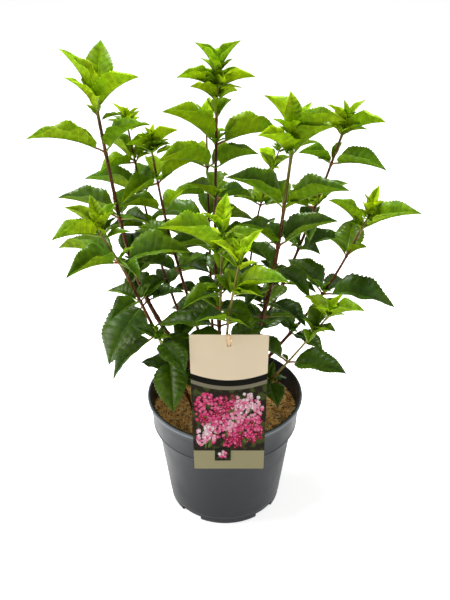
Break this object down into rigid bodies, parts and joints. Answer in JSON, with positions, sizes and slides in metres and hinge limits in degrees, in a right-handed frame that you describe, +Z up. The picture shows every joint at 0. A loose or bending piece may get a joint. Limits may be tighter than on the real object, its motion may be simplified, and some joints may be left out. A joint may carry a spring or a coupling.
{
  "type": "potted panicle hydrangea",
  "caption": "Young panicle hydrangea with leafy upright canes in a round grey nursery pot, with a hanging card label.",
  "frame": {"origin": "centre of the pot's flat underside", "axes": "+Z up along the plant's height, -Y towards the label at the front, +X to the viewer's right"},
  "size_m": [0.4169, 0.2931, 0.5731],
  "materials": {
    "pot": "satin moulded grey",
    "substrate": "coarse fibre, matt",
    "label": "printed card, satin",
    "stick": "raw pale wood",
    "cane": "smooth reddish bark",
    "leaves": "fresh green leaf, satin"
  },
  "bodies": {
    "root": {"pot": "pot", "substrate": "substrate", "label": "label", "label_stick": "stick", "cane_left_tall": "cane", "cane_left_low": "cane", "cane_left_back": "cane", "cane_left_mid": "cane", "cane_mid_tall": "cane", "cane_mid_back": "cane", "cane_mid_front": "cane", "cane_front": "cane", "cane_right_thick": "cane", "cane_right_back": "cane", "cane_right_tall": "cane", "cane_right_far": "cane", "cane_right_low": "cane", "cane_left_short": "cane", "leaves_left_tall": "leaves", "leaves_left_low": "leaves", "leaves_left_back": "leaves", "leaves_left_mid": "leaves", "leaves_mid_tall": "leaves", "leaves_mid_back": "leaves", "leaves_mid_front": "leaves", "leaves_front": "leaves", "leaves_right_thick": "leaves", "leaves_right_back": "leaves", "leaves_right_tall": "leaves", "leaves_right_far": "leaves", "leaves_right_low": "leaves", "leaves_left_short": "leaves"}
  },
  "joints": []
}
